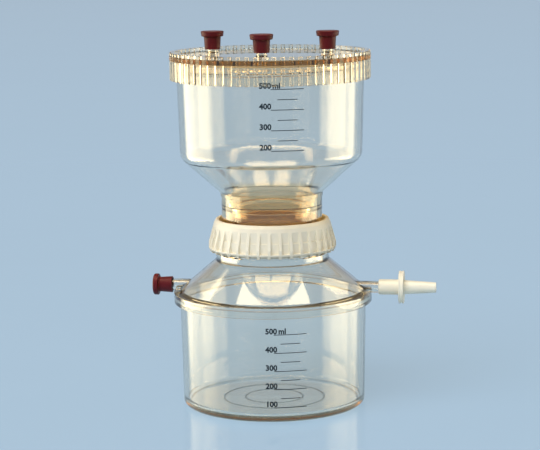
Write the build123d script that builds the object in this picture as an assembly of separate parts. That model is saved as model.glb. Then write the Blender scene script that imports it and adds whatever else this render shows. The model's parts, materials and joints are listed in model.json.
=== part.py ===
"""Vacuum filtration unit: a clear funnel with a screw cover, clamped by a collar to a receiver.

Millimetres. The origin is the centre of the receiver's flat foot, +Z is up, the side spouts lie along X.
"""
import os
from math import degrees, hypot, radians, sin, tan

from build123d import *

# ---------------------------------------------------------------- receiver
flange_radius = 60.0          # welded flange between cup and dome
wall = 2.5                    # clear mouldings: side walls and cones
floor_thickness = 3.0
floor_rings = (17.5, 30.6)    # radii of the shallow ridges moulded on the cup's floor
floor_ring_width = 1.6
floor_ring_height = 0.4
foot_fillet = 3.2
lip_overhang = 3.6            # flange beyond the wall under it
cup_draft = 1.2               # loss of radius from the lip down to the foot
cup_height = 66.9             # top of the lip, where the dome is welded on
lip_thickness = 4.2
flange_thickness = 2.4        # the dome's half of the welded flange
weld_land = 1.0               # width of the welded ring at the flange's mouth
weld_gap = 0.1                # between the flange's halves beyond the weld
flange_edge_round = 0.5
flange_ledge = 2.7            # flange beyond the foot of the cone
cone_foot_fillet = 5.0
cone_height = 19.6            # from the flange to the neck
cone_top_fillet = 1.5
neck_bead_rise = 0.7
neck_bead_height = 3.8
neck_bead_taper = 0.5
neck_root_radius = 33.3
neck_height = 18.5            # from the cone to the neck's top face
neck_wall = 2.6
ledge_height = 10.1           # support ledge above the cone's top
ledge_thickness = 2.4
ledge_width = 6.2

# ---------------------------------------------------------------- side spouts
port_rise = 2.3               # spout's axis above the flange
port_stand_out = 11.6         # spout's tip beyond the flange
port_radius = 3.5
port_bore_radius = 2.0
port_tip_chamfer = 0.5

# ---------------------------------------------------------------- screw threads
collar_pitch = 4.2
collar_thread_turns = 2.1
collar_thread_depth = 0.8
cover_pitch = 4.5
cover_thread_turns = 1.3
cover_thread_depth = 1.0
thread_crest = 0.9            # width of the crest
thread_flank = 0.55           # run of each flank along the axis
thread_root_sink = 0.5        # how far a ridge's root lies inside its wall
thread_gap = 0.3              # crest to the bore around it
thread_inset = 1.8            # end of a thread's path below the top of its wall

# ---------------------------------------------------------------- filter stack
seat_gap = 0.3                # around rings and discs that drop in
gasket_thickness = 1.5
gasket_width = 4.4
support_thickness = 3.0
support_skirt_gap = 0.6       # to the ledge's bore
support_skirt_wall = 1.8
support_skirt_drop = 5.0
support_hole_radius = 1.1
support_hole_pitch = 3.6
support_rings = 5
membrane_inset = 0.5          # membrane's edge inside the tube's outer wall
membrane_thickness = 0.2
seal_thickness = 1.6
seal_width = 1.5
seal_gap = 0.05               # on each side, in the groove
seal_recess = 0.7             # how much of the seal sits in its groove

# ---------------------------------------------------------------- upper chamber
skirt_spigot = 2.7            # what reaches below the foot flange
foot_flange_overhang = 0.4    # beyond the root of the neck's thread
foot_flange_thickness = 3.0
foot_flange_gap = 0.3         # foot flange to the neck's top face
tube_wall = 2.7
pocket_width = 3.9            # cored gap between tube and skirt
pocket_height = 11.3          # from the foot flange's underside
throat_floor = 2.9            # floor that joins tube and skirt
throat_steps = 2
throat_step_height = 2.3
throat_step_width = 1.3
throat_round = 1.2
neck_ring_rise = 0.5          # ring that stands proud at the top of the neck
neck_ring_height = 1.5
neck_length = 21.3            # from the foot flange's underside to the cone
cone_angle = 42.0             # from the horizontal
rim_outer_radius = 56.3
chamber_draft = 1.55          # loss of radius from the rim down to the cone
chamber_height = 78.8         # from the foot of the cone to the rim
shoulder_fillet = 8.0
rim_round = 0.4

# ---------------------------------------------------------------- collar
collar_bottom_drop = 13.4     # below the neck's top face
collar_top_thickness = 2.9
collar_hole_gap = 1.8         # to the chamber's skirt
collar_foot_wall = 3.3        # walls are measured from the collar's bore
collar_foot_chamfer = 2.2     # height of the tapered foot
collar_crest_wall = 4.1
collar_crest_height = 2.9
collar_crest_round = 1.2
collar_shoulder_wall = 0.7
collar_shoulder_drop = 2.1    # from the top to where the shoulder starts to turn in
collar_shoulder_round = 1.2
collar_top_land = 1.6         # width of the sloping top face
collar_top_fall = 0.5         # how much the top face falls towards the hole
collar_top_round = 0.8
collar_turned_to = 5.0        # degrees that the collar stands screwed round
rib_count = 36
rib_width = 1.8
pocket_upper_wall = 1.3
pocket_lower_wall = 2.1
pocket_step_height = 8.7      # above the collar's foot
pocket_foot_height = 2.7
notch_height = 1.5
notch_depth = 2.2

# ---------------------------------------------------------------- cover
cover_plate_thickness = 2.6
cover_gasket_thickness = 1.2
cover_gasket_width = 3.4
cover_skirt_height = 16.7
cover_rim_rise = 2.6          # raised rim above the plate
cover_wall = 1.5              # skirt between the knurls
cover_rim_width = 2.1
cover_rim_fillet = 0.8
knurl_count = 72
knurl_rise = 1.0
knurl_width = 2.7
knurl_end_chamfer = 0.5

# ---------------------------------------------------------------- cover spouts
spout_circle = 34.7           # radius of the circle they stand on
spout_angles = {"left": 180, "front": 270, "right": 0}
spout_radius = 3.2
spout_bore_radius = 2.0
spout_height = 11.3
spout_shoulder_radius = 4.0
spout_shoulder_height = 0.7
spout_tip_round = 0.5
spout_bead_radius = 3.6
spout_bead_width = 1.1
spout_bead_height = 1.1       # underside of the bead above the plate

# ---------------------------------------------------------------- rubber caps
cap_bore_gap = 0.05           # slides on the spout
cap_end_gap = 0.3
cap_stand_off = 3.5           # cap's mouth above the plate
cap_mouth_round = 0.25
cap_mouth_radius = 4.65
cap_neck_radius = 5.1
cap_neck_fillet = 0.7
cap_head_radius = 7.0
cap_head_taper = 0.5          # loss of radius from the head's top to its underside
cap_head_height = 3.2
cap_rim_round = 0.6           # top edge of the head
cap_brow_round = 0.5          # lower edge of the head
cap_end_wall = 2.8
port_cap_mouth_radius = 4.95
port_cap_neck_radius = 4.4
port_cap_neck_fillet = 1.4
port_cap_head_radius = 6.5
port_cap_head_height = 3.2
port_cap_rim_round = 1.1
port_cap_end_wall = 1.6
port_cap_length = 11.6

# ---------------------------------------------------------------- tubing adapter
adapter_barrel_radius = 4.6
adapter_barrel_length = 12.2
adapter_grip = 7.0            # length of spout inside the barrel
adapter_disc_radius = 10.0
adapter_disc_thickness = 2.9
adapter_disc_groove = 0.4
adapter_taper_length = 19.3
adapter_taper_foot_radius = 4.3
adapter_tip_radius = 3.1
adapter_bore_radius = 1.8
adapter_edge_round = 0.3

# ---------------------------------------------------------------- printed scales
print_thickness = 0.12
print_gap = 0.03
line_height = 0.4
long_line = 19.4
short_line = 11.6
scale_angle = -72.0           # middle of the lines, in degrees from +X
chamber_scale_rise = 31.1     # line at 200, above the foot of the cone
chamber_scale_step = 5.92     # per 50 ml
chamber_scale_lines = 7
receiver_scale_rise = 9.2     # line at 100, above the foot
receiver_scale_step = 5.45    # per 50 ml
receiver_scale_lines = 9

overshoot = 1.0               # how far a cutter reaches beyond what it cuts

# ---------------------------------------------------------------- worked out from the sizes above
cup_lip_radius = flange_radius - lip_overhang
cup_foot_radius = cup_lip_radius - cup_draft
mouth_radius = cup_lip_radius - wall
dome_foot_radius = flange_radius - flange_ledge
flange_top = cup_height + flange_thickness
dome_top = flange_top + cone_height
port_height = flange_top + port_rise
port_reach = flange_radius + port_stand_out
neck_top = dome_top + neck_height
ledge_top = dome_top + ledge_height
neck_bead_radius = neck_root_radius + neck_bead_rise
counterbore_radius = neck_root_radius - neck_wall
ledge_bore_radius = counterbore_radius - ledge_width
support_skirt_radius = ledge_bore_radius - support_skirt_gap
support_bottom = ledge_top + gasket_thickness
support_top = support_bottom + support_thickness
membrane_top = support_top + membrane_thickness
tube_foot = membrane_top + seal_thickness - seal_recess
skirt_radius = counterbore_radius - seat_gap
tube_radius = skirt_radius - wall - pocket_width
tube_bore_radius = tube_radius - tube_wall
membrane_radius = tube_radius - membrane_inset
foot_flange_radius = neck_root_radius + foot_flange_overhang
foot_flange_bottom = neck_top + foot_flange_gap
foot_flange_top = foot_flange_bottom + foot_flange_thickness
pocket_top = foot_flange_bottom + pocket_height
throat_bottom = pocket_top + throat_floor
cone_foot = foot_flange_bottom + neck_length
rim_height = cone_foot + chamber_height
shoulder_radius = rim_outer_radius - chamber_draft
collar_hole_radius = skirt_radius + collar_hole_gap
collar_bore_radius = neck_root_radius + collar_thread_depth + thread_gap
collar_foot_radius = collar_bore_radius + collar_foot_wall
collar_crest_radius = collar_bore_radius + collar_crest_wall
collar_shoulder_radius = collar_bore_radius + collar_shoulder_wall
pocket_upper_radius = collar_bore_radius + pocket_upper_wall
pocket_lower_radius = collar_bore_radius + pocket_lower_wall
collar_bottom = neck_top - collar_bottom_drop
collar_top = foot_flange_top + collar_top_thickness
gasket_seat = rim_height
plate_bottom = gasket_seat + cover_gasket_thickness
plate_top = plate_bottom + cover_plate_thickness
cover_top = plate_top + cover_rim_rise
cover_bottom = cover_top - cover_skirt_height
cover_bore_radius = rim_outer_radius + cover_thread_depth + thread_gap
cover_root_radius = cover_bore_radius + cover_wall
cover_rib_radius = cover_root_radius + knurl_rise
spout_tip = plate_top + spout_height
cap_mouth = plate_top + cap_stand_off


def turned(corners):
    """Solid turned about Z, from corners given as (radius, height, corner rounding)."""
    points = [(radius, height) for radius, height, rounding in corners]
    roundings = [rounding for radius, height, rounding in corners]
    outline = FilletPolyline(*points, radius=roundings, close=True)
    return revolve(Plane.XZ * make_face(outline), Axis.Z)


def spout_place(angle):
    """Axis of the cover spout that stands at an angle from +X."""
    return Rot(0, 0, angle) * Pos(spout_circle, 0, 0)


def tube(outer, inner, bottom, top):
    """Plain ring or pipe about Z."""
    return turned([(inner, bottom, 0), (outer, bottom, 0), (outer, top, 0), (inner, top, 0)])


def disc(radius, bottom, top):
    """Plain round plate about Z."""
    return Pos(0, 0, bottom) * Cylinder(radius, top - bottom, align=(Align.CENTER, Align.CENTER, Align.MIN))


def thread_ridge(root, depth, pitch, bottom, turns):
    """Helical ridge of a right-hand screw thread, with its root sunk into the wall it stands on."""
    path = Helix(pitch=pitch, height=pitch * turns, radius=root, center=(0, 0, bottom))
    half_crest = thread_crest / 2
    half_root = half_crest + thread_flank * (depth + thread_root_sink) / depth
    corners = [(-thread_root_sink, -half_root), (depth, -half_crest), (depth, half_crest),
               (-thread_root_sink, half_root)]
    section = Plane(path @ 0, x_dir=(1, 0, 0), z_dir=path % 0) * make_face(Polyline(*corners, close=True))
    return sweep(section, path=path, is_frenet=True)


def cup_wall_radius(height):
    """Outside of the drafted cup wall at a height."""
    return cup_foot_radius + cup_draft * height / (cup_height - lip_thickness)


def chamber_wall_radius(height):
    """Outside of the drafted chamber wall at a height."""
    return shoulder_radius + chamber_draft * (height - cone_foot) / chamber_height


def make_receiver_cup():
    """Cup with a flat foot, ridged floor, drafted wall and out-turned lip."""
    lip_bottom = cup_height - lip_thickness
    cup = turned([
        (0, 0, 0),
        (cup_foot_radius, 0, foot_fillet),
        (cup_lip_radius, lip_bottom, 0),
        (flange_radius, lip_bottom, flange_edge_round),
        (flange_radius, cup_height, 0),
        (mouth_radius, cup_height, 0),
        (cup_foot_radius - wall, floor_thickness, foot_fillet),
        (0, floor_thickness, 0),
    ])
    for radius in floor_rings:
        cup += turned([
            (radius - floor_ring_width / 2, floor_thickness, 0),
            (radius, floor_thickness + floor_ring_height, 0),
            (radius + floor_ring_width / 2, floor_thickness, 0),
            (radius, floor_thickness / 2, 0),
        ])
    return cup


def make_port(side):
    """Side spout along +X or -X, reaching back into the dome's hollow."""
    length = port_reach - neck_bead_radius
    spout = Cylinder(port_radius, length, align=(Align.CENTER, Align.CENTER, Align.MIN))
    spout = chamfer(spout.edges().sort_by(Axis.Z)[-1], port_tip_chamfer)
    return Pos(side * neck_bead_radius, 0, port_height) * Rot(0, side * 90, 0) * spout


def make_receiver_dome():
    """Cone with its flange half, threaded neck, support ledge and two side spouts."""
    slope = (dome_foot_radius - neck_bead_radius) / (dome_top - flange_top)
    sideways = wall * hypot(slope, 1)
    cavity_foot = flange_top + (dome_foot_radius - sideways - mouth_radius) / slope
    cavity_top = flange_top + (dome_foot_radius - sideways - counterbore_radius) / slope
    outside = turned([
        (0, cup_height, 0),
        (mouth_radius + weld_land, cup_height, 0),
        (mouth_radius + weld_land, cup_height + weld_gap, 0),
        (flange_radius, cup_height + weld_gap, 0),
        (flange_radius, flange_top, flange_edge_round),
        (dome_foot_radius, flange_top, cone_foot_fillet),
        (neck_bead_radius, dome_top, cone_top_fillet),
        (neck_bead_radius, dome_top + neck_bead_height, 0),
        (neck_root_radius, dome_top + neck_bead_height + neck_bead_taper, 0),
        (neck_root_radius, neck_top, 0),
        (0, neck_top, 0),
    ])
    hollow = turned([
        (0, cup_height, 0),
        (mouth_radius, cup_height, 0),
        (mouth_radius, cavity_foot, 0),
        (counterbore_radius, cavity_top, 0),
        (counterbore_radius, ledge_top - ledge_thickness, 0),
        (ledge_bore_radius, ledge_top - ledge_thickness, 0),
        (ledge_bore_radius, ledge_top, 0),
        (counterbore_radius, ledge_top, 0),
        (counterbore_radius, neck_top, 0),
        (0, neck_top, 0),
    ])
    bore = Rot(0, 90, 0) * Cylinder(port_bore_radius, 2 * (port_reach + overshoot))
    thread_bottom = neck_top - collar_pitch * collar_thread_turns - thread_inset
    thread = thread_ridge(
        neck_root_radius, collar_thread_depth, collar_pitch, thread_bottom, collar_thread_turns)
    body = outside + thread + make_port(1) + make_port(-1)
    return body - hollow - Pos(0, 0, port_height) * bore


def make_support_gasket():
    """Flat ring between the ledge and the support plate."""
    outer = counterbore_radius - seat_gap
    return tube(outer, outer - gasket_width, ledge_top, support_bottom)


def make_filter_support():
    """Perforated plate that carries the membrane, with a drip skirt below."""
    plate = disc(counterbore_radius - seat_gap, support_bottom, support_top)
    skirt = tube(support_skirt_radius, support_skirt_radius - support_skirt_wall,
                 support_bottom - support_skirt_drop, support_bottom)
    hole = Cylinder(support_hole_radius, 3 * support_thickness)
    holes = [Pos(0, 0, support_top) * hole]
    for ring in range(1, support_rings + 1):
        places = PolarLocations(ring * support_hole_pitch, 6 * ring)
        holes += [Pos(0, 0, support_top) * place * hole for place in places]
    return plate + skirt - holes


def make_membrane_filter():
    """Membrane disc on the support plate."""
    return disc(membrane_radius, support_top, membrane_top)


def make_chamber_seal():
    """Square ring in the groove of the chamber's inner tube."""
    middle = tube_bore_radius + tube_wall / 2
    half_width = seal_width / 2 - seal_gap
    return tube(middle + half_width, middle - half_width, membrane_top, membrane_top + seal_thickness)


def make_upper_chamber():
    """Funnel in one moulding: threaded rim, cylinder, cone, stepped throat, tube, skirt and foot flange."""
    rise = tan(radians(cone_angle))
    sideways = wall / sin(radians(cone_angle))
    cone_top = cone_foot + (shoulder_radius - skirt_radius) * rise
    neck_bore = skirt_radius - wall
    inner_cone_foot = cone_foot + (neck_bore - skirt_radius + sideways) * rise
    inner_shoulder = shoulder_radius - wall
    inner_cone_top = cone_foot + (inner_shoulder - skirt_radius + sideways) * rise
    steps = []
    for step in range(throat_steps + 1):
        radius = neck_bore - step * throat_step_width
        height = throat_bottom + (throat_steps - step) * throat_step_height
        if step:
            steps.append((radius, height + throat_step_height, 0))
        steps.append((radius, height, 0))
    body = turned([
        (tube_bore_radius, tube_foot, 0),
        (tube_radius, tube_foot, 0),
        (tube_radius, pocket_top, 0),
        (neck_bore, pocket_top, 0),
        (neck_bore, foot_flange_bottom - skirt_spigot, 0),
        (skirt_radius, foot_flange_bottom - skirt_spigot, 0),
        (skirt_radius, foot_flange_bottom, 0),
        (foot_flange_radius, foot_flange_bottom, 0),
        (foot_flange_radius, foot_flange_top, 0),
        (skirt_radius, foot_flange_top, 0),
        (skirt_radius, cone_foot - neck_ring_height, 0),
        (skirt_radius + neck_ring_rise, cone_foot - neck_ring_height, 0),
        (skirt_radius + neck_ring_rise, cone_foot + neck_ring_rise * rise, 0),
        (shoulder_radius, cone_top, shoulder_fillet),
        (rim_outer_radius, rim_height, rim_round),
        (rim_outer_radius - wall, rim_height, 0),
        (inner_shoulder, inner_cone_top, shoulder_fillet - wall),
        (neck_bore, inner_cone_foot, 0),
        *steps,
        (tube_bore_radius, throat_bottom, throat_round),
    ])
    groove_middle = tube_bore_radius + tube_wall / 2
    groove = tube(groove_middle + seal_width / 2, groove_middle - seal_width / 2,
                  tube_foot - seal_recess, tube_foot + seal_recess)
    thread_bottom = rim_height - cover_pitch * cover_thread_turns - thread_inset
    root = chamber_wall_radius(thread_bottom)
    thread = thread_ridge(root, rim_outer_radius + cover_thread_depth - root, cover_pitch, thread_bottom,
                          cover_thread_turns)
    return body + thread - groove


def between_ribs(rib, count, floor_radius, beyond, low, high):
    """What is cut away between ribs around Z, from a floor radius out to beyond them."""
    ring = Circle(beyond) - Circle(floor_radius)
    gaps = ring - [place * rib for place in PolarLocations(0, count)]
    return Pos(0, 0, low) * extrude(gaps, high - low)


def make_collar():
    """Screw collar: inner bore and lip, tapered outside, ribs with stepped pockets, notched foot."""
    crest_low = collar_bottom + collar_foot_chamfer
    crest_high = crest_low + collar_crest_height
    shoulder = collar_top - collar_shoulder_drop
    body = turned([
        (collar_bore_radius, collar_bottom, 0),
        (collar_foot_radius, collar_bottom, 0),
        (collar_crest_radius, crest_low, collar_crest_round),
        (collar_crest_radius, crest_high, collar_crest_round),
        (collar_shoulder_radius, shoulder, collar_shoulder_round),
        (collar_hole_radius + collar_top_land, collar_top, collar_top_round),
        (collar_hole_radius, collar_top - collar_top_fall, 0),
        (collar_hole_radius, foot_flange_top, 0),
        (collar_bore_radius, foot_flange_top, 0),
    ])
    beyond = collar_crest_radius + overshoot
    rib = Pos(beyond / 2, 0) * Rectangle(beyond, rib_width)
    step = collar_bottom + pocket_step_height
    foot = collar_bottom + pocket_foot_height
    upper = between_ribs(rib, rib_count, pocket_upper_radius, beyond, step, collar_top)
    lower = between_ribs(rib, rib_count, pocket_lower_radius, beyond, foot, step)
    notches = between_ribs(rib, rib_count, collar_foot_radius - notch_depth, beyond,
                           collar_bottom - overshoot, collar_bottom + notch_height)
    return Rot(0, 0, collar_turned_to) * (body - upper - lower - notches)


def make_cover():
    """Screw cover: knurled skirt, recessed plate with three spouts."""
    rim_inner_radius = cover_root_radius - cover_rim_width
    body = turned([
        (0, plate_bottom, 0),
        (cover_bore_radius, plate_bottom, 0),
        (cover_bore_radius, cover_bottom, 0),
        (cover_rib_radius - knurl_end_chamfer, cover_bottom, 0),
        (cover_rib_radius, cover_bottom + knurl_end_chamfer, 0),
        (cover_rib_radius, cover_top - knurl_end_chamfer, 0),
        (cover_rib_radius - knurl_end_chamfer, cover_top, 0),
        (rim_inner_radius, cover_top, 0),
        (rim_inner_radius, plate_top, cover_rim_fillet),
        (0, plate_top, 0),
    ])
    rib = Pos(cover_rib_radius - knurl_width / 2, 0) * Circle(knurl_width / 2)
    grooves = between_ribs(rib, knurl_count, cover_root_radius, cover_rib_radius + overshoot,
                           cover_bottom - overshoot, cover_top + overshoot)
    spout = turned([
        (0, plate_bottom, 0),
        (spout_shoulder_radius, plate_bottom, 0),
        (spout_shoulder_radius, plate_top + spout_shoulder_height, 0),
        (spout_radius, plate_top + spout_shoulder_height, 0),
        (spout_radius, plate_top + spout_bead_height, 0),
        (spout_bead_radius, plate_top + spout_bead_height + spout_bead_width / 2, 0),
        (spout_radius, plate_top + spout_bead_height + spout_bead_width, 0),
        (spout_radius, spout_tip, spout_tip_round),
        (0, spout_tip, 0),
    ])
    bore = disc(spout_bore_radius, plate_bottom - overshoot, spout_tip + overshoot)
    places = [spout_place(angle) for angle in spout_angles.values()]
    cover = body - grooves + [place * spout for place in places]
    return cover - [place * bore for place in places]


def make_cover_gasket():
    """Flat ring between the chamber's rim and the cover's plate."""
    outer = cover_bore_radius - seat_gap
    return tube(outer, outer - cover_gasket_width, gasket_seat, plate_bottom)


def rubber_cap(bore_radius, end_wall, mouth_radius, neck, head, length):
    """Cap that stands on its mouth at the origin, with its head up.

    neck is (radius, fillet) and head is (radius, taper, height, upper round, lower round).
    """
    neck_radius, neck_fillet = neck
    head_radius, head_taper, head_height, rim_round, brow_round = head
    head_foot = length - head_height
    return turned([
        (bore_radius, 0, cap_mouth_round),
        (mouth_radius, 0, cap_mouth_round),
        (neck_radius, head_foot, neck_fillet),
        (head_radius - head_taper, head_foot, brow_round),
        (head_radius, length, rim_round),
        (0, length, 0),
        (0, length - end_wall, 0),
        (bore_radius, length - end_wall, 0),
    ])


def make_cover_cap(angle):
    """Cap on one of the cover's spouts."""
    length = spout_tip - cap_mouth + cap_end_gap + cap_end_wall
    neck = (cap_neck_radius, cap_neck_fillet)
    head = (cap_head_radius, cap_head_taper, cap_head_height, cap_rim_round, cap_brow_round)
    cap = rubber_cap(spout_radius + cap_bore_gap, cap_end_wall, cap_mouth_radius, neck, head, length)
    return spout_place(angle) * Pos(0, 0, cap_mouth) * cap


def make_port_cap():
    """Cap on the receiver's left spout."""
    neck = (port_cap_neck_radius, port_cap_neck_fillet)
    head = (port_cap_head_radius, 0, port_cap_head_height, port_cap_rim_round, cap_brow_round)
    cap = rubber_cap(port_radius + cap_bore_gap, port_cap_end_wall, port_cap_mouth_radius, neck, head,
                     port_cap_length)
    mouth = port_reach + cap_end_gap + port_cap_end_wall - port_cap_length
    return Pos(-mouth, 0, port_height) * Rot(0, -90, 0) * cap


def make_vacuum_adapter():
    """Stepped tubing adapter on the receiver's right spout: barrel, grip disc and hose taper."""
    mouth = port_reach - adapter_grip
    disc_low = adapter_barrel_length
    disc_high = disc_low + adapter_disc_thickness
    tip = disc_high + adapter_taper_length
    seat = adapter_grip + cap_end_gap
    body = turned([
        (port_radius + cap_bore_gap, 0, adapter_edge_round),
        (adapter_barrel_radius, 0, adapter_edge_round),
        (adapter_barrel_radius, disc_low, adapter_edge_round),
        (adapter_disc_radius, disc_low, adapter_edge_round),
        (adapter_disc_radius - adapter_disc_groove, (disc_low + disc_high) / 2, adapter_edge_round),
        (adapter_disc_radius, disc_high, adapter_edge_round),
        (adapter_taper_foot_radius, disc_high, adapter_edge_round),
        (adapter_tip_radius, tip, adapter_edge_round),
        (adapter_bore_radius, tip, adapter_edge_round),
        (adapter_bore_radius, seat, 0),
        (port_radius + cap_bore_gap, seat, 0),
    ])
    return Pos(mouth, 0, port_height) * Rot(0, 90, 0) * body


def printed_scale(wall_radius, low, step, count):
    """Graduation lines on a drafted wall: a long line every second step, short ones between."""
    lines = []
    for index in range(count):
        height = low + index * step
        inner = wall_radius(height) + print_gap
        sweep_angle = degrees((short_line if index % 2 else long_line) / inner)
        section = Pos(inner + print_thickness / 2, height) * Rectangle(print_thickness, line_height)
        line = revolve(Plane.XZ * section, Axis.Z, revolution_arc=sweep_angle)
        lines.append(Rot(0, 0, scale_angle - sweep_angle / 2) * line)
    return Compound(children=lines)


def write(node, shape):
    """Save one sub-part under its node's name."""
    export_step(shape, os.path.join("parts", node + ".step"))


def main():
    """Make every sub-part and save it."""
    os.makedirs("parts", exist_ok=True)
    write("receiver_cup", make_receiver_cup())
    write("receiver_dome", make_receiver_dome())
    write("receiver_scale", printed_scale(cup_wall_radius, receiver_scale_rise, receiver_scale_step,
                                          receiver_scale_lines))
    write("support_gasket", make_support_gasket())
    write("filter_support", make_filter_support())
    write("membrane_filter", make_membrane_filter())
    write("chamber_seal", make_chamber_seal())
    write("upper_chamber", make_upper_chamber())
    write("chamber_scale", printed_scale(chamber_wall_radius, cone_foot + chamber_scale_rise,
                                         chamber_scale_step, chamber_scale_lines))
    write("collar", make_collar())
    write("cover_gasket", make_cover_gasket())
    write("cover", make_cover())
    for side, angle in spout_angles.items():
        write("cover_cap_" + side, make_cover_cap(angle))
    write("port_cap", make_port_cap())
    write("vacuum_adapter", make_vacuum_adapter())


main()
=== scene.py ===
import bpy
import json
from math import atan2, cos, hypot, pi, radians, sin, tan
from mathutils import Matrix, Vector


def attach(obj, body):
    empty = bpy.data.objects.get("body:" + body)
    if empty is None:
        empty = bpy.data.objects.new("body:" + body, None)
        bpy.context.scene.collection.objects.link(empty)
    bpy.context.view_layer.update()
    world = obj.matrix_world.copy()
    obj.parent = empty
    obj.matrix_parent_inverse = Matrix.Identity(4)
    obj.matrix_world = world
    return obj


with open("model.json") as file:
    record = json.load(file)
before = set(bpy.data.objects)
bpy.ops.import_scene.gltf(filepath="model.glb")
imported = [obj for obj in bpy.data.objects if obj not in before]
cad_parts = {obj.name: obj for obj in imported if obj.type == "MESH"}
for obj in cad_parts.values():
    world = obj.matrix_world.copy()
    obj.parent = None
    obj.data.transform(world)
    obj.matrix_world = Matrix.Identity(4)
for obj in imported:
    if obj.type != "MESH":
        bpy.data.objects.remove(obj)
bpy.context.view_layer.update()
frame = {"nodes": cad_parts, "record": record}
nodes = frame["nodes"]
print("frame loaded:", len(nodes), "nodes")


# small helpers for node trees: each takes sockets or plain numbers and gives back a socket

def feed(l, value, socket):
    if isinstance(value, bpy.types.NodeSocket):
        l.new(value, socket)
    else:
        socket.default_value = value


def compute(n, l, operation, *values):
    node = n.new("ShaderNodeMath")
    node.operation = operation
    for value, socket in zip(values, node.inputs):
        feed(l, value, socket)
    return node.outputs[0]


def remap(n, l, value, fromLow=0.0, fromHigh=1.0, toLow=0.0, toHigh=1.0, kind="LINEAR"):
    node = n.new("ShaderNodeMapRange")
    node.interpolation_type = kind
    feed(l, value, node.inputs["Value"])
    feed(l, fromLow, node.inputs["From Min"])
    feed(l, fromHigh, node.inputs["From Max"])
    feed(l, toLow, node.inputs["To Min"])
    feed(l, toHigh, node.inputs["To Max"])
    return node.outputs["Result"]


def split(n, l, vector):
    parts = n.new("ShaderNodeSeparateXYZ")
    l.new(vector, parts.inputs[0])
    return parts.outputs


def objectPlace(n):
    return n.new("ShaderNodeTexCoord").outputs["Object"]


def noise(n, l, place, scale, detail, distortion=0.0):
    node = n.new("ShaderNodeTexNoise")
    node.inputs["Detail"].default_value = detail
    node.inputs["Distortion"].default_value = distortion
    l.new(place, node.inputs["Vector"])
    feed(l, scale, node.inputs["Scale"])
    return node.outputs["Fac"]


def twoColours(n, l, mask, first, second):
    mix = n.new("ShaderNodeMix")
    mix.data_type = "RGBA"
    for colour, label in ((first, "A"), (second, "B")):
        feed(l, (*colour, 1) if isinstance(colour, tuple) else colour, mix.inputs[label])
    l.new(mask, mix.inputs["Factor"])
    return mix.outputs["Result"]


def twoShaders(n, l, share, first, second):
    mix = n.new("ShaderNodeMixShader")
    for socket, given in zip(mix.inputs, (share, first, second)):
        l.new(given, socket)
    return mix.outputs[0]


def bumped(n, l, mask, strength, distance):
    bump = n.new("ShaderNodeBump")
    bump.inputs["Strength"].default_value = strength
    bump.inputs["Distance"].default_value = distance
    l.new(mask, bump.inputs["Height"])
    return bump.outputs["Normal"]


# effects that several materials share: groups that give a mask

def newGroup(name, **inputs):
    group = bpy.data.node_groups.new(name, "ShaderNodeTree")
    face = group.interface
    for label, value in inputs.items():
        socket = face.new_socket(name=label, in_out="INPUT", socket_type="NodeSocketFloat")
        socket.default_value = value
    face.new_socket(name="Mask", in_out="OUTPUT", socket_type="NodeSocketFloat")
    given = group.nodes.new("NodeGroupInput").outputs
    result = group.nodes.new("NodeGroupOutput").inputs["Mask"]
    return group, given, result


speckle = dict(wideDetail=3, fineDetail=4, wideShare=0.65, fineShare=0.35, full=0.75)


def speckleGroup():
    # soft cloudy mask with a finer one inside it, for haze, dust and uneven pigment
    group, given, result = newGroup("softSpeckle", Scale=40.0, Fine=6.0, Contrast=0.5)
    n, l = group.nodes, group.links
    place = objectPlace(n)
    wide = noise(n, l, place, given["Scale"], speckle["wideDetail"])
    finer = compute(n, l, "MULTIPLY", given["Scale"], given["Fine"])
    fine = noise(n, l, place, finer, speckle["fineDetail"])
    finePart = compute(n, l, "MULTIPLY", fine, speckle["fineShare"])
    both = compute(n, l, "MULTIPLY_ADD", wide, speckle["wideShare"], finePart)
    start = compute(n, l, "SUBTRACT", speckle["full"], given["Contrast"])
    l.new(remap(n, l, both, start, speckle["full"]), result)
    return group


scratch = dict(detail=2, wobble=0.4, start=0.62, full=0.72)


def scratchGroup():
    # short hair scratches from stretched noise, running round the object
    group, given, result = newGroup("hairScratches", Scale=60.0, Stretch=12.0, Amount=0.3)
    n, l = group.nodes, group.links
    axes = n.new("ShaderNodeCombineXYZ")
    for socket, value in zip(axes.inputs, (1.0, 1.0, given["Stretch"])):
        feed(l, value, socket)
    pull = n.new("ShaderNodeVectorMath")
    pull.operation = "MULTIPLY"
    l.new(objectPlace(n), pull.inputs[0])
    l.new(axes.outputs[0], pull.inputs[1])
    streak = noise(n, l, pull.outputs[0], given["Scale"], scratch["detail"], scratch["wobble"])
    line = remap(n, l, streak, scratch["start"], scratch["full"])
    l.new(compute(n, l, "MULTIPLY", line, given["Amount"]), result)
    return group


softSpeckle = speckleGroup()
hairScratches = scratchGroup()


def placeGroup(n, group, **values):
    box = n.new("ShaderNodeGroup")
    box.node_tree = group
    for label, value in values.items():
        box.inputs[label].default_value = value
    return box.outputs["Mask"]


def newMaterial(name):
    material = bpy.data.materials.new(name)
    material.use_nodes = True
    tree = material.node_tree
    return material, tree.nodes, tree.links, tree.nodes["Principled BSDF"]


# clear plastic: faintly amber, hazed in soft clouds, with a painted warm tint where the walls are
# double, standing in for light carried through thick plastic

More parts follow.
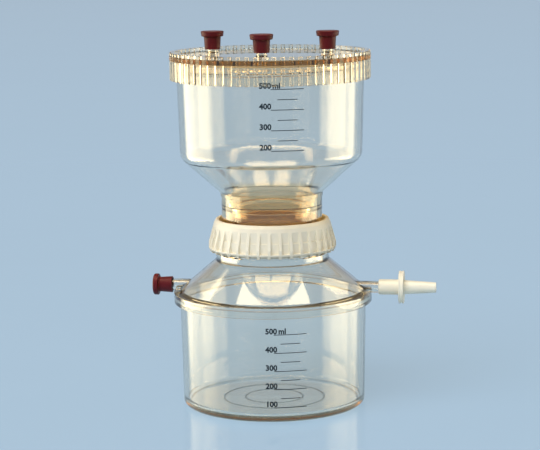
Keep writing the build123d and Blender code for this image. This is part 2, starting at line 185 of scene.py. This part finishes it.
clearLook = dict(
    bend=1.6, tint=(0.99, 0.99, 0.985), clouded=(0.965, 0.96, 0.94), amber=(0.965, 0.82, 0.60),
    absorb=(0.89, 0.77, 0.54), density=66.0, shade=(0.78, 0.74, 0.62),
    haze=dict(Scale=35.0, Fine=9.0, Contrast=0.35), smooth=0.015, hazed=0.06,
    scratches=dict(Scale=240.0, Stretch=9.0, Amount=0.5),
    swell=dict(Scale=14.0, Fine=3.0, Contrast=0.75), wave=0.05, waveDepth=0.0004,
)
# painted warm tint: height bands where light through the thick plastic and the cream parts seen
# through it are painted into the colour
paintedWarmBands = dict(  # heights in metres, where each band starts and where it is full
    neck=dict(foot=0.097, footFull=0.123, top=0.132, topFull=0.130, share=1.0),
    cover=dict(foot=0.1955, footFull=0.1985, top=0.2150, topFull=0.2140, share=0.38),
)


def paintedWarmMask(n, l):
    height = split(n, l, objectPlace(n))["Z"]
    masks = []
    for band in paintedWarmBands.values():
        foot = remap(n, l, height, band["foot"], band["footFull"], 0.0, band["share"], "SMOOTHSTEP")
        top = remap(n, l, height, band["top"], band["topFull"], kind="SMOOTHSTEP")
        masks.append(compute(n, l, "MULTIPLY", foot, top))
    return compute(n, l, "MAXIMUM", *masks)


def makeClearPlastic():
    look = clearLook
    material, n, l, shader = newMaterial("clearPolysulfone")
    shader.inputs["Transmission Weight"].default_value = 1.0
    shader.inputs["IOR"].default_value = look["bend"]
    haze = placeGroup(n, softSpeckle, **look["haze"])
    clouds = twoColours(n, l, haze, look["tint"], look["clouded"])
    # the painted warm tint, standing in for light through thick plastic, goes into the base colour
    colour = twoColours(n, l, paintedWarmMask(n, l), clouds, look["amber"])
    l.new(colour, shader.inputs["Base Color"])
    marks = compute(n, l, "MAXIMUM", haze, placeGroup(n, hairScratches, **look["scratches"]))
    rough = remap(n, l, marks, toLow=look["smooth"], toHigh=look["hazed"])
    l.new(rough, shader.inputs["Roughness"])
    swell = placeGroup(n, softSpeckle, **look["swell"])
    l.new(bumped(n, l, swell, look["wave"], look["waveDepth"]), shader.inputs["Normal"])
    volume = n.new("ShaderNodeVolumeAbsorption")
    volume.inputs["Color"].default_value = (*look["absorb"], 1)
    volume.inputs["Density"].default_value = look["density"]
    paleShade = n.new("ShaderNodeBsdfTransparent")
    paleShade.inputs["Color"].default_value = (*look["shade"], 1)
    shadow = n.new("ShaderNodeLightPath").outputs["Is Shadow Ray"]
    out = n["Material Output"]
    surface = twoShaders(n, l, shadow, shader.outputs[0], paleShade.outputs[0])
    l.new(surface, out.inputs["Surface"])
    l.new(volume.outputs[0], out.inputs["Volume"])
    return material


# moulded plastics, rubbers and print: uneven pigment, a faint grain and handling marks

satin = dict(
    cloud=dict(Scale=22.0, Fine=8.0, Contrast=0.5), marks=dict(Scale=300.0, Stretch=7.0, Amount=0.6),
    grainFine=2.5, grainContrast=0.6, grainDepth=0.0002,
)
satinLooks = {  # by material slot; spread is how much rougher the marks are
    "cream_plastic": dict(
        name="creamPolypropylene", colour=(0.86, 0.82, 0.70), darker=(0.79, 0.745, 0.61),
        rough=0.36, spread=0.14, grain=500.0, bump=0.12, shine=0.5),
    "ivory_plastic": dict(
        name="ivoryPolypropylene", colour=(0.88, 0.855, 0.74), darker=(0.83, 0.795, 0.66),
        rough=0.33, spread=0.14, grain=600.0, bump=0.10, shine=0.5),
    "white_plastic": dict(
        name="whiteSupportPlastic", colour=(0.84, 0.83, 0.78), darker=(0.78, 0.765, 0.70),
        rough=0.4, spread=0.15, grain=500.0, bump=0.12, shine=0.5),
    "silicone": dict(
        name="siliconeRubber", colour=(0.70, 0.58, 0.38), darker=(0.60, 0.48, 0.29),
        rough=0.42, spread=0.12, grain=700.0, bump=0.08, shine=0.5),
    "membrane": dict(
        name="membranePaper", colour=(0.90, 0.90, 0.88), darker=(0.84, 0.84, 0.81),
        rough=0.75, spread=0.15, grain=1800.0, bump=0.3, shine=0.5),
    "maroon_rubber": dict(
        name="maroonRubber", colour=(0.125, 0.009, 0.014), darker=(0.08, 0.006, 0.010),
        rough=0.30, spread=0.16, grain=900.0, bump=0.2, shine=0.2),
    "black_print": dict(
        name="printedInk", colour=(0.006, 0.014, 0.022), darker=(0.014, 0.028, 0.04),
        rough=0.6, spread=0.2, grain=2500.0, bump=0.1, shine=0.25),
}


def makeSatinPlastic(look):
    material, n, l, shader = newMaterial(look["name"])
    shader.inputs["Specular IOR Level"].default_value = look["shine"]
    cloud = placeGroup(n, softSpeckle, **satin["cloud"])
    l.new(twoColours(n, l, cloud, look["darker"], look["colour"]), shader.inputs["Base Color"])
    marks = compute(n, l, "MAXIMUM", cloud, placeGroup(n, hairScratches, **satin["marks"]))
    rough = remap(n, l, marks, toLow=look["rough"], toHigh=look["rough"] + look["spread"])
    l.new(rough, shader.inputs["Roughness"])
    grain = placeGroup(
        n, softSpeckle, Scale=look["grain"], Fine=satin["grainFine"], Contrast=satin["grainContrast"])
    l.new(bumped(n, l, grain, look["bump"], satin["grainDepth"]), shader.inputs["Normal"])
    return material


materials = {"clear_plastic": makeClearPlastic()}
for slot, look in satinLooks.items():
    materials[slot] = makeSatinPlastic(look)
slotOf = {s["node"]: s["material_slot"] for s in frame["record"]["subparts"]}
for name, thing in nodes.items():
    thing.data.materials.clear()
    thing.data.materials.append(materials[slotOf[name]])
print("materials made:", len(materials))


# graduation numerals, wrapped on the drafted walls beside the printed lines

numerals = dict(
    size=0.0045, lift=0.00006, depth=0.00010, spacing=1.02, wordSpacing=0.6, weight=0.00017,
    curveSteps=3, sunk=0.0001, above=0.0006, rowHeight=0.002,
)
scales = dict(  # before is how far each number starts ahead of its line
    chamber=dict(node="chamber_scale", labels=("200", "300", "400", "500 ml"), before=0.0066),
    receiver=dict(
        node="receiver_scale", labels=("100", "200", "300", "400", "500 ml"), before=0.0050),
)


def link(thing):
    bpy.context.scene.collection.objects.link(thing)
    return thing


def makeNumeral(name, words, body, lineRadius, angle, height):
    curve = bpy.data.curves.new(name, "FONT")
    curve.body = words
    curve.size = numerals["size"]
    curve.space_character = numerals["spacing"]
    curve.space_word = numerals["wordSpacing"]
    curve.offset = numerals["weight"]
    curve.extrude = numerals["depth"] / 2
    curve.resolution_u = numerals["curveSteps"]
    curve.align_x = "LEFT"
    curve.align_y = "BOTTOM_BASELINE"
    flat = link(bpy.data.objects.new(name + "Flat", curve))
    bpy.context.view_layer.update()
    seen = flat.evaluated_get(bpy.context.evaluated_depsgraph_get())
    mesh = bpy.data.meshes.new_from_object(seen)
    bpy.data.objects.remove(flat)
    for v in mesh.vertices:
        turn = angle + v.co.x / lineRadius
        out = lineRadius + numerals["lift"] + v.co.z
        v.co = (out * cos(turn), out * sin(turn), height + v.co.y)
    piece = link(bpy.data.objects.new(name, mesh))
    mesh.materials.clear()
    mesh.materials.append(materials["black_print"])
    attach(piece, body)


def scaleLines(node):
    # each printed line's height, start angle and radius, read from the frame, lowest first
    rows = {}
    for v in nodes[node].data.vertices:
        rows.setdefault(round(v.co.z / numerals["rowHeight"]), []).append(v.co)
    merged = []
    for key in sorted(rows):
        if merged and key - merged[-1][0] <= 1:
            merged[-1] = (key, merged[-1][1] + rows[key])
        else:
            merged.append((key, rows[key]))
    lines = []
    for key, points in merged:
        height = sum(p.z for p in points) / len(points)
        start = min(atan2(p.y, p.x) for p in points)
        lines.append((height, start, max(hypot(p.x, p.y) for p in points)))
    return lines


for body, scale in scales.items():
    longLines = scaleLines(scale["node"])[::2]
    for (height, start, radius), words in zip(longLines, scale["labels"]):
        name = body + "Number" + words.split()[0]
        makeNumeral(
            name, words, body, radius - numerals["sunk"], start - scale["before"] / radius,
            height + numerals["above"])
print("numerals made")


# floor: mostly its own even colour to the camera, and lit for the rest so that it keeps the shadow

floorLook = dict(
    size=60.0, colour=(0.43, 0.62, 0.81), darker=0.985, clouds=dict(Scale=3.0, Fine=5.0, Contrast=0.4),
    rough=0.6, glow=0.7, sheetRough=0.09, sheetShare=0.8,
)


def makeFloor():
    look = floorLook
    mesh = bpy.data.meshes.new("floor")
    half = look["size"] / 2
    corners = [(-half, -half, 0), (half, -half, 0), (half, half, 0), (-half, half, 0)]
    mesh.from_pydata(corners, [], [(0, 1, 2, 3)])
    floor = link(bpy.data.objects.new("floor", mesh))
    material, n, l, shader = newMaterial("paleFloor")
    shader.inputs["Roughness"].default_value = look["rough"]
    shader.inputs["Specular IOR Level"].default_value = 0.0
    darker = tuple(c * look["darker"] for c in look["colour"])
    clouds = placeGroup(n, softSpeckle, **look["clouds"])
    colour = twoColours(n, l, clouds, darker, look["colour"])
    l.new(colour, shader.inputs["Base Color"])
    glow = n.new("ShaderNodeEmission")
    l.new(colour, glow.inputs["Color"])
    rays = n.new("ShaderNodeLightPath").outputs
    seen = compute(n, l, "MAXIMUM", rays["Is Camera Ray"], rays["Is Glossy Ray"])
    seen = compute(n, l, "MAXIMUM", seen, rays["Is Transmission Ray"])
    share = compute(n, l, "MULTIPLY", seen, look["glow"])
    blend = twoShaders(n, l, share, shader.outputs[0], glow.outputs[0])
    sheet = n.new("ShaderNodeBsdfGlossy")
    sheet.inputs["Roughness"].default_value = look["sheetRough"]
    edgeOn = n.new("ShaderNodeFresnel").outputs[0]
    part = compute(n, l, "MULTIPLY", edgeOn, look["sheetShare"])
    polished = twoShaders(n, l, part, blend, sheet.outputs[0])
    l.new(polished, n["Material Output"].inputs["Surface"])
    mesh.materials.append(material)
    return floor


# sky: pale at the horizon and dusky warm above

sky = dict(
    strength=0.75, horizon=(0.62, 0.74, 0.88), above=(0.50, 0.385, 0.24), duskFrom=0.05, duskTo=0.45)


def makeSky():
    world = bpy.data.worlds.new("studio")
    bpy.context.scene.world = world
    world.use_nodes = True
    n, l = world.node_tree.nodes, world.node_tree.links
    height = split(n, l, n.new("ShaderNodeTexCoord").outputs["Generated"])["Z"]
    climb = remap(n, l, height, sky["duskFrom"], sky["duskTo"], kind="SMOOTHSTEP")
    back = n["Background"]
    back.inputs["Strength"].default_value = sky["strength"]
    l.new(twoColours(n, l, climb, sky["horizon"], sky["above"]), back.inputs["Color"])


# soft key light from the front left, above, kept out of reflections

key = dict(strength=2.7, spread=50.0, turned=(38, 0, -25))


def makeKey():
    light = bpy.data.lights.new("key", "SUN")
    light.energy = key["strength"]
    light.angle = radians(key["spread"])
    sun = link(bpy.data.objects.new("key", light))
    sun.rotation_euler = [radians(angle) for angle in key["turned"]]
    sun.visible_glossy = False
    sun.visible_transmission = False


# panels that show only in reflections, by what their collections say

panelColour = (1.0, 0.84, 0.52)


def litOnly(name, thing, state):
    # panels given this collection light the thing alone, or all but the thing
    lit = bpy.data.collections.new(name)
    lit.objects.link(thing)
    lit.collection_objects[0].light_linking.link_state = state
    return lit


def makePanel(name, where, turned, width, height, glow, lit):
    # glow is its radiance; gives back its nodes, links and own coordinates from 0 to 1
    light = bpy.data.lights.new(name, "AREA")
    light.shape = "RECTANGLE"
    light.size = width
    light.size_y = height
    light.energy = glow * width * height * pi
    light.color = panelColour
    lamp = link(bpy.data.objects.new(name, light))
    lamp.location = where
    lamp.rotation_euler = [radians(angle) for angle in turned]
    lamp.visible_camera = False
    lamp.visible_diffuse = False
    lamp.light_linking.receiver_collection = lit
    light.use_nodes = True
    n, l = light.node_tree.nodes, light.node_tree.links
    return n, l, split(n, l, n.new("ShaderNodeNewGeometry").outputs["Parametric"])


cards = dict(  # upright cards at both sides; turn and spread are angles round the object
    away=0.36, height=0.46, foot=2.2, footHeight=0.24, soft=0.16, floorGain=1.7,
    sides=dict(
        left=dict(turn=177.0, spread=60.0, glow=3.5),
        right=dict(turn=13.5, spread=58.0, glow=2.8)),
)


def softenCard(n, l, spot, mirrors):
    # fades to both sides and swells towards the foot; it isn't seen straight through clear walls,
    # and where two mirrorings are asked for, not straight from the floor either
    rise = remap(n, l, spot["Y"], 0.0, cards["footHeight"], cards["foot"], 1.0, "SMOOTHSTEP")
    near = remap(n, l, spot["X"], 0.0, cards["soft"], kind="SMOOTHSTEP")
    far = remap(n, l, spot["X"], 1.0, 1 - cards["soft"], kind="SMOOTHSTEP")
    whole = compute(n, l, "MULTIPLY", compute(n, l, "MULTIPLY", near, far), rise)
    rays = n.new("ShaderNodeLightPath").outputs
    shown = compute(n, l, "GREATER_THAN", rays["Glossy Depth"], mirrors - 0.5)
    if mirrors == 1:
        straight = compute(n, l, "LESS_THAN", rays["Transmission Depth"], 0.5)
        shown = compute(n, l, "MAXIMUM", shown, straight)
    l.new(compute(n, l, "MULTIPLY", shown, whole), n["Emission"].inputs["Strength"])


def makeCards(allButFloor, floorOnly):
    away, tall = cards["away"], cards["height"]
    for side, card in cards["sides"].items():
        turn = radians(card["turn"])
        where = (away * cos(turn), away * sin(turn), tall / 2)
        width = 2 * away * tan(radians(card["spread"] / 2))
        inwards = (90, 0, card["turn"] + 90)
        for kind, glow, lit, mirrors in (
                ("Card", card["glow"], allButFloor, 1),
                ("FloorCard", card["glow"] * cards["floorGain"], floorOnly, 2)):
            softenCard(*makePanel(side + kind, where, inwards, width, tall, glow, lit), mirrors)


topPanel = dict(
    glow=6.0, size=(0.70, 0.50), place=(0.0167, -0.1188, 0.85), turned=(0, 0, 8.0),
    notchSlope=0.546, notchDepth=0.742, notchSoft=0.012,
)


def makeTopPanel(allButFloor):
    # its far edge is a wide V, so that the dome in front mirrors it and the cone behind doesn't
    top = topPanel
    n, l, spot = makePanel(
        "topPanel", top["place"], top["turned"], *top["size"], top["glow"], allButFloor)
    aside = compute(n, l, "ABSOLUTE", compute(n, l, "SUBTRACT", spot["X"], 0.5))
    edge = compute(n, l, "MULTIPLY_ADD", aside, top["notchSlope"], top["notchDepth"])
    within = compute(n, l, "SUBTRACT", edge, spot["Y"])
    l.new(remap(n, l, within, -top["notchSoft"], top["notchSoft"]), n["Emission"].inputs["Strength"])


viewing = dict(
    lens=129.47, distance=1.175, height=0.1088, azimuth=8.0, elevation=8.85, roll=0.75, shift=-0.004,
    nearest=0.05, farthest=60,
)


def makeCamera():
    view = viewing
    turn, lift, tilt = (radians(view[angle]) for angle in ("azimuth", "elevation", "roll"))
    back = Vector((sin(turn) * cos(lift), -cos(turn) * cos(lift), sin(lift)))
    right = Vector((cos(turn), sin(turn), 0))
    up = back.cross(right)
    across = right * cos(tilt) - up * sin(tilt)
    above = right * sin(tilt) + up * cos(tilt)
    data = bpy.data.cameras.new("camera")
    data.lens = view["lens"]
    data.shift_x = view["shift"]
    data.clip_start, data.clip_end = view["nearest"], view["farthest"]
    camera = link(bpy.data.objects.new("camera", data))
    place = Matrix((across, above, back)).transposed().to_4x4()
    place.translation = Vector((0, 0, view["height"])) + back * view["distance"]
    camera.matrix_world = place
    bpy.context.scene.camera = camera


bounces = dict(most=48, transmission=48, transparent=16)  # many, for wall behind clear wall

floor = makeFloor()
makeSky()
makeKey()
allButFloor = litOnly("allButFloor", floor, "EXCLUDE")
makeCards(allButFloor, litOnly("floorOnly", floor, "INCLUDE"))
makeTopPanel(allButFloor)
makeCamera()
bpy.context.scene.view_settings.view_transform = "Standard"
bpy.context.scene.cycles.max_bounces = bounces["most"]
bpy.context.scene.cycles.transmission_bounces = bounces["transmission"]
bpy.context.scene.cycles.transparent_max_bounces = bounces["transparent"]
print("studio ready")
